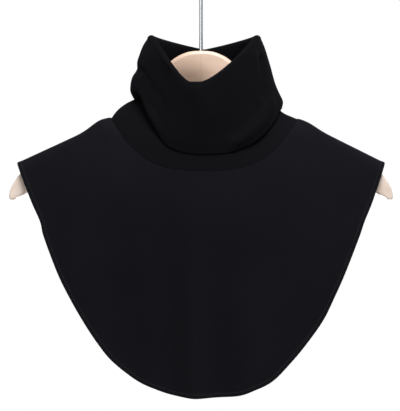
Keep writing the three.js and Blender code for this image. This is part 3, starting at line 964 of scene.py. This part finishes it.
    def skin(self) -> ClothSkin:
        """Builds the collar's cloth.

        Returns:
            The skin, from the neck seam over the roll to the flap's edge.
        """
        turn = np.linspace(-math.pi, math.pi, self.turns, endpoint=False)
        place, wall, outward = self.seam.at(turn)
        rows = []
        for rise in np.linspace(0, 1, self.stand_steps, endpoint=False):
            row = self.between(turn, place, self.roll(turn, 0), self.stand_rows, rise)
            rows.append(row + outward * SEAM_TUCK * max(0.0, 1 - rise / self.tuck_end))
        rows += [self.roll(turn, angle) for angle in np.linspace(0, math.pi, self.roll_steps)]
        away = np.stack([np.sin(turn), -np.cos(turn), np.zeros_like(turn)], axis=-1)
        for fall in np.linspace(0, 1, self.flap_steps)[1:]:
            row = self.between(turn, self.roll(turn, math.pi), self.hem_place(turn), self.flap_rows, fall)
            rows.append(row + away * self.fold_height(turn, fall)[..., None])
        middle = np.stack(rows)
        normal = grid_normals(middle, closed=True)
        normal[0] = wall
        falls = np.zeros(len(rows))
        falls[1 - self.flap_steps :] = np.linspace(0, 1, self.flap_steps)[1:]
        walls = mix(self.wall, self.edge_wall, smooth(self.edge_start, 1, falls))
        thickness = np.repeat(walls[:, None], self.turns, axis=1)
        beyond = unit(middle[-1] - middle[-2])
        for angle in np.linspace(0, HALF_TURN, self.end_steps + 1)[1:]:
            tip = middle[len(rows) - 1] + beyond * self.edge_wall / 2 * math.sin(angle)
            middle = np.concatenate([middle, tip[None]])
            normal = np.concatenate([normal, normal[-1:]])
            rounded = np.full((1, self.turns), max(self.edge_wall * math.cos(angle), THINNEST))
            thickness = np.concatenate([thickness, rounded])
        down = path_length(middle, 0).mean(axis=1) * MM
        across = np.linspace(0, self.wales * WALE * MM, self.turns + 1)
        flat = np.stack(np.meshgrid(across, down), axis=-1)
        return ClothSkin(middle, normal, thickness, flat, closed=True)

    def dress(self, knit: bpy.types.Material) -> bpy.types.Object:
        """Makes the collar, rides it on the object and hides the CAD collar.

        Args:
            knit: Finish of the cloth.

        Returns:
            The collar.
        """
        piece = self.skin().make("turtleneck_collar", knit)
        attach(piece, "root")
        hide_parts("collar")
        return piece


@dataclass(frozen=True)
class OutlineRow:
    """The panel's two edges at one height below the shoulder tips, as shares of its sizes."""

    down: float
    left: float
    right: float


@dataclass(frozen=True)
class HangFold:
    """A soft fold of a panel that grows towards the hem."""

    across: float  # share of half the shoulder span
    start: float  # share of the way down
    width: float
    height: float


@dataclass
class BibPanel:
    """One bib-shaped panel, from the neck seam and the shoulders down to the stitched hem."""

    side: Side
    seam: NeckSeam
    share: float  # of the full outline
    neck_depth: float
    hem_depth: float
    folds: tuple[HangFold, ...]
    shoulder_span: float = SHOULDER_SPAN
    tip_z: float = -237  # height of the shoulder tips
    length: float = 255  # from the shoulder tips' height to the lowest point of the hem
    seam_rise: float = 50  # of the neck points above the shoulder tips, along the cloth
    tip_share: float = 0.2  # of the outline, next to each shoulder tip, where the panels come together
    cloth: float = 1.8
    hem_cloth: float = 2.6
    hem_line: float = 4.4  # from the hem's edge to its row of stitches
    hem_band: float = 9.0  # width of the closely spaced rows at the hem
    hem_rows: tuple[float, ...] = (  # distances of those rows from the hem's edge
        6.2, 5.4, 4.9, 4.65, 4.4, 4.15, 3.9, 3.4, 2.7, 2.0, 1.3, 0.85, 0.5, 0.25, 0.08, 0.0,
    )
    least_slant: float = 0.45  # of a column of the grid to the hem
    pucker: float = 0.16  # of the cloth at the stitches
    pucker_length: float = 5.6
    pucker_width: float = 2.2
    groove: float = 0.75  # that the stitches press into the cloth, on both faces together
    groove_width: float = 0.42
    swell: float = 0.2  # of the cloth just below the neck seam
    swell_drop: float = 3.5
    swell_width: float = 3.2
    stitch_lift: float = 0.05
    stitch_ends: int = 6  # columns without stitches at each shoulder tip
    fullness: float = 15  # of the hang between the seam and the hem
    fullness_power: float = 0.7
    wrap: float = 8.4  # from the hanger's plane to the cloth's middle over the wood
    wrap_width: float = 0.03
    wrap_start: float = 0.12
    ease_end: float = 0.3  # share of the way down where the front and the back have left the neck seam
    ease_from: float = 0.25  # depths, as shares of the middle's, between which they begin to do so
    ease_to: float = 0.5
    bump_left: float = 5  # rises of the shoulders next to the neck
    bump_right: float = 2.5
    bump_place: float = 0.12
    bump_width: float = 0.13
    bump_sharpness: float = 12
    half_columns: int = 110
    crowding: float = 1.8  # of the columns towards the shoulders
    edge_crowding: float = 1.45  # of their ends on the outline
    body_rows: int = 96
    outline_rows: tuple[OutlineRow, ...] = (
        OutlineRow(0, 1, 1),
        OutlineRow(0.161, 0.92, 0.93),
        OutlineRow(0.25, 0.87, 0.884),
        OutlineRow(0.314, 0.85, 0.856),
        OutlineRow(0.467, 0.776, 0.78),
        OutlineRow(0.569, 0.712, 0.722),
        OutlineRow(0.671, 0.638, 0.658),
        OutlineRow(0.773, 0.554, 0.566),
        OutlineRow(0.85, 0.475, 0.484),
        OutlineRow(0.926, 0.352, 0.388),
        OutlineRow(0.966, 0.24, 0.29),
        OutlineRow(0.993, 0.13, 0.19),
    )

    def outline(self, share: Array) -> tuple[Array, Array, Array]:
        """Gives the panel's edge from the left shoulder tip round the hem to the right one.

        Args:
            share: Shares of the edge's length.

        Returns:
            The places (X and Z), the unit tangents, and the distances along the edge.
        """
        half = self.shoulder_span / 2
        left = [(-row.left * half, self.tip_z - row.down * self.length) for row in self.outline_rows]
        right = [(row.right * half, self.tip_z - row.down * self.length) for row in self.outline_rows]
        knots = np.array(left + [(NECK_SHIFT, self.tip_z - self.length)] + right[::-1])
        padded = np.concatenate([knots[:1], knots, knots[-1:]])
        way = np.linspace(0, len(knots) - 1, OUTLINE_STEPS)
        at = np.minimum(way.astype(int), len(knots) - 2)
        line = curve_through(*(padded[at + i] for i in range(4)), (way - at)[:, None])
        gone = path_length(line, 0)
        total = gone[-1]
        step = 2e-3
        behind, place, ahead = (
            np.stack([np.interp(share + shift, gone / total, line[:, i]) for i in (0, 1)], axis=-1)
            for shift in (-step, 0, step)
        )
        # Both panels share the shoulder seams, and the back one is a little smaller away from them.
        inside = smooth(0, self.tip_share, np.minimum(share, 1 - share))
        place[..., 0] *= mix(1, self.share, inside)
        place[..., 1] = self.tip_z + (place[..., 1] - self.tip_z) * self.share
        return place, unit(ahead - behind), share * total

    def wrap_share(self, u: Array) -> Array:
        """How much of the bend over the wood is done at a place across the panel."""
        inside = np.clip((1 - np.abs(u)) / self.wrap_width, 0, 1)
        return np.sqrt(1 - (1 - inside) ** 2)

    def skin(self) -> tuple[ClothSkin, Array]:
        """Builds the panel's cloth.

        Returns:
            The skin, and the path of the hem's stitches on its outer face.
        """
        steps = np.linspace(-1, 1, 2 * self.half_columns + 1)
        u = np.sign(steps) * (1 - (1 - np.abs(steps)) ** self.crowding)
        u = u[::-1] if self.side is Side.FRONT else u
        turn = u * HALF_TURN if self.side is Side.FRONT else math.pi - u * HALF_TURN
        seam, wall, outward = self.seam.at(turn)
        start = seam + outward * SEAM_GAP / 2
        edge, tangent, along = self.outline((1 + np.sign(u) * np.abs(u) ** self.edge_crowding) / 2)
        line = edge - start[:, [0, 2]]
        reach = np.linalg.norm(line, axis=-1)
        slant = np.abs(line[:, 0] * tangent[:, 1] - line[:, 1] * tangent[:, 0]) / reach
        scale = 1 / (reach * np.maximum(slant, self.least_slant))
        close = np.array(self.hem_rows)
        body = np.linspace(0, 1, self.body_rows)[:, None] * (1 - self.hem_band * scale)
        v = np.concatenate([body, 1 - close[:, None] * scale])
        from_edge = (1 - v) / scale
        middle = self.shape(u, v, start, edge)
        from_line = from_edge - self.hem_line
        pucker = self.pucker * np.sin(FULL_TURN * along / self.pucker_length)
        middle[..., 1] += self.side.value * pucker * bell(from_line / self.pucker_width)
        normal = grid_normals(middle, closed=False)
        normal[0] = wall
        for column in (0, -1):
            rail = np.gradient(middle[:, column], axis=0)
            rail[:, 1] = 0
            up = unit(np.stack([-rail[:, 2], rail[:, 1], rail[:, 0]], axis=-1))
            normal[1:, column] = np.where(up[:, 2:] < 0, -up, up)[1:]
        thick = mix(self.hem_cloth, self.cloth, smooth(-0.2, 1.6, from_line))
        thick = thick - self.groove * bell(from_line / self.groove_width)
        rounded = self.hem_cloth / 2
        short = np.clip((rounded - from_edge) / rounded, 0, 1)
        thick = np.maximum(thick * np.sqrt(1 - short**2), THINNEST)
        thick = thick + self.swell * bell((v * reach - self.swell_drop) / self.swell_width) * (v > 0)
        flat = np.stack([middle[..., 0] * MM, path_length(middle, 0) * MM], axis=-1)
        stitch_row = self.body_rows + int(np.argmin(np.abs(close - self.hem_line)))
        out = thick[stitch_row][:, None] / 2 + self.stitch_lift
        path = middle[stitch_row] + normal[stitch_row] * out
        skin = ClothSkin(middle, normal, thick, flat, closed=False)
        return skin, path[self.stitch_ends : -self.stitch_ends]

    def shape(self, u: Array, v: Array, start: Array, edge: Array) -> Array:
        """Gives the middle of the cloth.

        Args:
            u: Places across, from the left shoulder at -1 to the right one at 1.
            v: Shares of the way down, in rows and columns.
            start: Points of the neck seam.
            edge: Points of the outline.

        Returns:
            The points in rows and columns.
        """
        centre = np.cos(u * HALF_TURN)
        x = mix(start[:, 0], edge[:, 0], v)
        z = mix(start[:, 2], edge[:, 1], v)
        bump = np.where(u < 0, self.bump_left, self.bump_right) * np.abs(u) ** self.bump_sharpness
        z = z + bump * bell((v - self.bump_place) / self.bump_width) * (v > 0)
        hung = centre**self.fullness_power * (self.fullness * 4 * v * (1 - v) + self.hem_depth * v * v)
        depth = self.neck_depth * centre * (1 - v) ** 2 + hung
        wrapped = self.wrap_share(u)
        at_once = smooth(-self.wrap_start, self.wrap_start, v)
        slowly = 1 - (1 - np.clip(v / self.ease_end, 0, 1)) ** 2
        taken = mix(at_once, slowly, smooth(self.ease_from, self.ease_to, centre))
        depth = depth + np.where(v > 0, self.wrap * wrapped * taken, 0)
        for fold in self.folds:
            offset = (x - fold.across * self.shoulder_span / 2) / fold.width
            depth = depth + fold.height * bell(offset) * smooth(fold.start, 1, v) * wrapped
        depth = np.maximum(depth, SEAM_GAP / 2)
        return np.stack([x, self.side.value * depth, z], axis=-1)

    def dress(
        self, knit: bpy.types.Material, thread: bpy.types.Material, stitches: StitchRow
    ) -> list[bpy.types.Object]:
        """Makes the panel and its hem's stitches, rides them on the object and hides the CAD panel.

        Args:
            knit: Finish of the cloth.
            thread: Finish of the stitches.
            stitches: How the hem is stitched.

        Returns:
            The panel and the row of stitches.
        """
        word = self.side.name.lower()
        skin, path = self.skin()
        piece = skin.make(f"bib_{word}_panel", knit)
        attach(piece, "root")
        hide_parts(f"bib_{word}")
        row = stitches.lay(f"bib_{word}_hem_stitches", path, thread)
        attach(row, "root")
        return [piece, row]


@dataclass
class HangerBody:
    """The flat wooden body of the hanger: a domed head, sloping arms and rounded edges."""

    head_drop: float = HEAD_DROP
    neck_drop: float = 76  # from the head's top to the wood at the neck seam
    half_neck: float = HALF_NECK
    span: float = 421
    thickness: float = 13
    edge: float = 4.6  # rounding of the long edges
    tip_edge: float = 1.6  # the same at the arms' tips
    taper_start: float = 184  # from the hanger's middle, where the edges' rounding begins to shrink
    taper_end: float = 206
    edge_steps: int = 8
    head_height: float = 51
    arm_height: float = 28
    arm_end: float = 18
    arm_droop: float = 7.5
    droop_start: float = 0.5
    droop_end: float = 1.1
    shoulder_span: float = SHOULDER_SPAN
    shoulder_fall: float = 48
    clear: float = 2.2  # from the shoulder seam down to the wood
    points: int = 640
    arm_steps: int = 8
    bore: float = 2.3  # radius of the hook's hole
    bore_depth: float = STEM_DEPTH + 0.3
    bore_sides: int = 32
    bore_over: float = 6  # of the drill above the wood
    head_rows: tuple[tuple[float, float], ...] = (
        (0, 0), (0.17, 0.03), (0.34, 0.165), (0.5, 0.44), (0.62, 0.68), (0.76, 0.86),
    )
    end_rows: tuple[tuple[float, float], ...] = (
        (0.47, 0.34), (0.88, 0.78), (1, 1.1), (0.93, 1.23), (0.7, 1.23), (0.45, 1.12),
    )

    def shoulder_z(self, distance: float, side: int) -> float:
        """Height of the straight shoulder line at a distance from the hanger's middle."""
        start = self.half_neck + side * NECK_SHIFT
        return NECK_Z - self.shoulder_fall * (distance - start) / (self.shoulder_span / 2 - start)

    def outline(self) -> Array:
        """Points round the wood's outline, X and Z, evenly spaced and a little smoothed."""
        arm = self.span / 2 - self.arm_end
        top = [
            (across * self.half_neck, -self.head_drop - drop * self.neck_drop)
            for across, drop in self.head_rows
        ]
        for step in range(self.arm_steps + 1):
            share = step / self.arm_steps
            distance = mix(self.half_neck - NECK_SHIFT, arm, share)
            cloth = min(self.shoulder_z(distance, -1), self.shoulder_z(distance, 1))
            droop = self.arm_droop * float(smooth(self.droop_start, self.droop_end, np.array(share)))
            top.append((distance, cloth - self.clear - droop))
        x, z = top[-1]
        end = [(x + out * self.arm_end, z - down * self.arm_height) for out, down in self.end_rows]
        under = []
        for x, z in reversed(top):
            height = mix(self.head_height, self.arm_height, float(smooth(0, self.half_neck, np.array(x))))
            under.append((x, z - height))
        right = top + end + under
        left = [(-x, z) for x, z in reversed(right[1:-1])]
        knots = np.array(right + left)
        count = len(knots)
        way = np.linspace(0, count, 2 * OUTLINE_STEPS, endpoint=False)
        at = way.astype(int)
        line = curve_through(*(knots[(at + i) % count] for i in (-1, 0, 1, 2)), (way - at)[:, None])
        closed = np.concatenate([line, line[:1]])
        gone = path_length(closed, 0)
        even = np.linspace(0, gone[-1], self.points, endpoint=False)
        return np.stack([np.interp(even, gone, closed[:, i]) for i in (0, 1)], axis=-1)

    def dress(self, wood: bpy.types.Material) -> bpy.types.Object:
        """Makes the wooden body with the hook's hole in its top.

        Args:
            wood: Finish of the wood.

        Returns:
            The wooden body.
        """
        outline = self.outline()
        tangent = unit(np.roll(outline, -1, axis=0) - np.roll(outline, 1, axis=0))
        inward = np.stack([tangent[:, 1], -tangent[:, 0]], axis=-1)
        taper = smooth(self.taper_start, self.taper_end, np.abs(outline[:, 0]))
        edge = mix(self.edge, self.tip_edge, taper)
        rings = []
        for face in (-1, 1):
            angles = np.linspace(HALF_TURN, 0, self.edge_steps + 1)
            for angle in angles if face < 0 else angles[::-1]:
                inset = outline + inward * (edge * (1 - math.cos(angle)))[:, None]
                y = face * (self.thickness / 2 - edge * (1 - math.sin(angle)))
                rings.append(np.stack([inset[:, 0], y, inset[:, 1]], axis=-1))
        faces = tube_faces(len(rings), self.points)
        piece = mesh_object("hanger_wood", np.concatenate(rings), faces, wood, sharp=35)
        self.drill(piece)
        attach(piece, "root")
        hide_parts("hanger_body")
        return piece

    def drill(self, piece: bpy.types.Object) -> None:
        """Cuts the hole for the hook's stem into the top of the wood.

        Args:
            piece: The wooden body, whose mesh is replaced.
        """
        low, high = -self.head_drop - self.bore_depth, -self.head_drop + self.bore_over
        points = np.array([(x, y, z) for z in (low, high) for x, y in circle(self.bore, self.bore_sides)])
        drill = mesh_object("drill", points, tube_faces(2, self.bore_sides), piece.data.materials[0])
        modifier = piece.modifiers.new("hole", "BOOLEAN")
        modifier.object = drill
        modifier.operation = "DIFFERENCE"
        modifier.solver = "EXACT"
        depsgraph = bpy.context.evaluated_depsgraph_get()
        mesh = bpy.data.meshes.new_from_object(piece.evaluated_get(depsgraph), depsgraph=depsgraph)
        piece.modifiers.remove(modifier)
        piece.data = mesh
        mesh.name = "hanger_wood"
        bpy.data.objects.remove(drill)


@dataclass
class HangerHook:
    """The bent wire hook: a stem in the wood, a short bend and an open round."""

    wire: float = 4
    radius: float = 20  # inside of the round
    end: float = 195  # degrees round from the right
    bend: float = 12  # radius of the bend between the stem and the round
    stem_depth: float = STEM_DEPTH
    head_drop: float = HEAD_DROP
    sides: int = 28
    stem_steps: int = 24
    bend_steps: int = 16
    round_steps: int = 96
    cap_steps: int = 5
    cap_bulge: float = 0.6  # of the wire's ends, as a share of its radius

    def middle(self) -> tuple[Array, Array]:
        """Gives the wire's middle line.

        Returns:
            Its points (X and Z), and the direction of the wire at each.
        """
        round_radius = self.radius + self.wire / 2
        centre_z = -self.radius
        reach = round_radius + self.bend
        bend_z = centre_z - math.sqrt(reach**2 - self.bend**2)
        meet = math.atan2(bend_z - centre_z, self.bend)
        foot = -self.head_drop - self.stem_depth
        stem = [(0.0, z) for z in np.linspace(foot, bend_z, self.stem_steps)]
        turned = math.pi - np.linspace(0, -meet, self.bend_steps)[1:]
        short = [(self.bend + self.bend * math.cos(a), bend_z + self.bend * math.sin(a)) for a in turned]
        sweep = np.linspace(meet, math.radians(self.end), self.round_steps)[1:]
        arc = [(round_radius * math.cos(a), centre_z + round_radius * math.sin(a)) for a in sweep]
        line = np.array(stem + short + arc)
        return line, unit(np.gradient(line, axis=0))

    def dress(self, steel: bpy.types.Material) -> bpy.types.Object:
        """Makes the wire with rounded ends.

        Args:
            steel: Finish of the wire.

        Returns:
            The wire.
        """
        line, ahead = self.middle()
        radius = self.wire / 2
        angles = np.linspace(HALF_TURN, 0, self.cap_steps, endpoint=False)
        caps = [(radius * math.sin(a) * self.cap_bulge, max(radius * math.cos(a), 0.01)) for a in angles]
        stations = [(line[0] - ahead[0] * out, ahead[0], size) for out, size in caps]
        stations += [(place, way, radius) for place, way in zip(line, ahead)]
        stations += [(line[-1] + ahead[-1] * out, ahead[-1], size) for out, size in reversed(caps)]
        points = [
            (place[0] - way[1] * across, out, place[1] + way[0] * across)
            for place, way, size in stations
            for across, out in circle(size, self.sides)
        ]
        faces = [face[::-1] for face in tube_faces(len(stations), self.sides)]
        piece = mesh_object("hook_wire", np.array(points), faces, steel)
        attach(piece, "root")
        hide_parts("hanger_hook")
        return piece


@dataclass(frozen=True)
class Lamp:
    """A soft square light, with its size in metres and its power in watts."""

    name: str
    place: Point
    size: float
    power: float


@dataclass
class Studio:
    """Pale floor, white surroundings, soft lights and the camera, in metres."""

    floor_z: float = -0.85
    floor_size: float = 1.7
    floor_thickness: float = 0.01
    floor_sides: int = 96
    camera_place: Point = (-0.0011, -2.2, -0.283)
    lens: float = 180.0
    sensor: float = 36.0
    around: float = 0.25  # strength of the white surroundings on the object
    aim: Point = (0.0, 0.0, -0.27)
    view_depth: float = 50.0
    lamps: tuple[Lamp, ...] = (
        Lamp("key_light", (0.26, -0.9, 1.2), 0.9, 48),
        Lamp("fill_light", (-1.3, -1.6, -0.1), 1.0, 6),
        Lamp("top_light", (0.0, -0.15, 1.1), 0.8, 3),
        Lamp("back_light", (0.3, 1.5, -0.45), 0.7, 26),
    )

    def floor(self) -> bpy.types.Object:
        """Makes the floor as a thin round slab, and returns it."""
        rim = circle(self.floor_size / 2, self.floor_sides)
        levels = (self.floor_z - self.floor_thickness, self.floor_z)
        points = np.array([(x, y, z) for z in levels for x, y in rim])
        faces = tube_faces(2, self.floor_sides)
        piece = mesh_object("floor", points / MM, faces, FloorFinish().build())
        return piece

    def light(self, lamp: Lamp) -> None:
        """Adds a light that faces the object.

        Args:
            lamp: The light's name, place, size and power.
        """
        light = bpy.data.lights.new(lamp.name, "AREA")
        light.size = lamp.size
        light.energy = lamp.power
        holder = bpy.data.objects.new(lamp.name, light)
        holder.location = lamp.place
        way = Vector(self.aim) - Vector(lamp.place)
        holder.rotation_euler = way.to_track_quat("-Z", "Y").to_euler()
        bpy.context.scene.collection.objects.link(holder)

    def surroundings(self) -> None:
        """Makes the world white behind the object and softer in its light."""
        world = bpy.data.worlds.new("white_room")
        world.use_nodes = True
        bpy.context.scene.world = world
        wiring = Wiring(world.node_tree)
        seen = wiring.add("ShaderNodeBackground", Color=(1.0, 1.0, 1.0, 1.0), Strength=1.0)
        soft = wiring.add("ShaderNodeBackground", Color=(0.95, 0.97, 1.0, 1.0), Strength=self.around)
        ray = wiring.add("ShaderNodeLightPath").outputs["Is Camera Ray"]
        blend = wiring.add("ShaderNodeMixShader", Fac=ray)
        wiring.feed(blend.inputs[1], soft.outputs[0])
        wiring.feed(blend.inputs[2], seen.outputs[0])
        wiring.add("ShaderNodeOutputWorld", Surface=blend.outputs[0])

    def camera(self) -> None:
        """Sets the camera level with the object's middle, a little over two metres in front of it."""
        lens = bpy.data.cameras.new("photo_camera")
        lens.sensor_fit = "HORIZONTAL"
        lens.sensor_width = self.sensor
        lens.lens = self.lens
        lens.clip_end = self.view_depth
        holder = bpy.data.objects.new("photo_camera", lens)
        holder.location = self.camera_place
        holder.rotation_euler = (HALF_TURN, 0, 0)
        bpy.context.scene.collection.objects.link(holder)
        bpy.context.scene.camera = holder

    def build(self) -> None:
        """Builds the whole studio."""
        self.floor()
        self.surroundings()
        for lamp in self.lamps:
            self.light(lamp)
        self.camera()
        view = bpy.context.scene.view_settings
        view.view_transform = "Standard"
        view.look = "None"


# Folds of the two panels, from the middle out
FRONT_FOLDS = (
    HangFold(-0.035, 0.1, 11.5, 11.5),
    HangFold(-0.15, 0.2, 14, -8),
    HangFold(0.11, 0.2, 16, -9),
    HangFold(0.32, 0.4, 20, 4),
    HangFold(-0.41, 0.25, 36, -11),
    HangFold(-0.6, 0.05, 26, 4),
)
BACK_FOLDS = (
    HangFold(0, 0.3, 20, -5),
    HangFold(-0.22, 0.3, 22, 5),
    HangFold(0.24, 0.3, 22, 5),
)


def main() -> None:
    """Builds the studio and every piece of the dickey and its hanger in order."""
    logging.basicConfig(level=logging.INFO, format="%(name)s: %(message)s")
    Studio().build()
    # The collar's knit has painted shade on the flap and inside the collar.
    collar_knit = KnitFinish(
        "collar_knit", (0.0028, 0.0027, 0.0036), (0.0045, 0.0043, 0.0058), flap_painted_shade=0.83, inside_painted_shade=0.39
    ).build()
    bib_knit = KnitFinish("bib_knit", (0.0049, 0.0047, 0.0064), (0.0079, 0.0076, 0.0101)).build()
    thread = ThreadFinish().build()
    seam = NeckSeam()
    stitches = StitchRow()
    pieces = [Collar(seam).dress(collar_knit)]
    front = BibPanel(Side.FRONT, seam, share=1.0, neck_depth=48, hem_depth=25, folds=FRONT_FOLDS)
    back = BibPanel(Side.BACK, seam, share=0.96, neck_depth=40, hem_depth=20, folds=BACK_FOLDS)
    for panel in (front, back):
        pieces += panel.dress(bib_knit, thread, stitches)
    pieces.append(HangerBody().dress(WoodFinish().build()))
    pieces.append(HangerHook().dress(WireFinish().build()))
    for piece in pieces:
        log.info("%s: %d faces", piece.name, len(piece.data.polygons))


if __name__ == "__main__":
    main()
